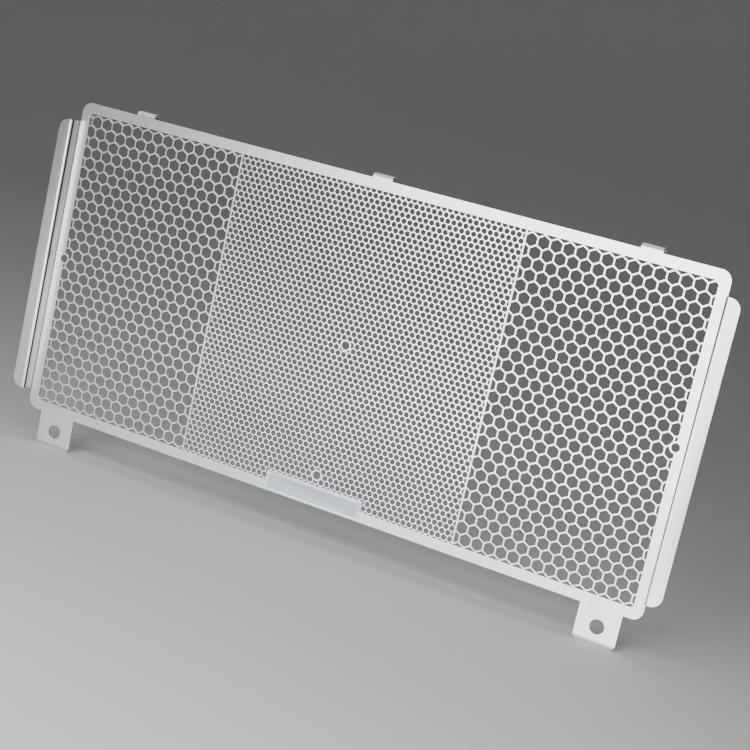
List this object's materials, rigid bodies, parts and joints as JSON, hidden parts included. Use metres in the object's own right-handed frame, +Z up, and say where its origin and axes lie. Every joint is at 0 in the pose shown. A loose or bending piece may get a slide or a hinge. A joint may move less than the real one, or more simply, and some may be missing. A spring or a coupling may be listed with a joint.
{
  "type": "motorcycle radiator guard",
  "caption": "Folded stainless radiator guard: flat hexagon-mesh panel, fine in the middle and coarse at the sides, with stepped side wings, hooks along the top edge and bolt tabs below.",
  "frame": {"origin": "midway between the two bolt holes of the lower tabs, on the back of the tabs, where they seat", "axes": "+X along the panel, to the right seen from the front; +Y backward, towards the radiator; +Z up the panel"},
  "size_m": [0.3496, 0.0129, 0.1771],
  "materials": {
    "stainless": "satin stainless steel with a fine grain",
    "badge_metal": "satin silver with a cool tint"
  },
  "bodies": {
    "root": {"guard_sheet": "stainless", "badge_plate": "badge_metal"}
  },
  "joints": []
}
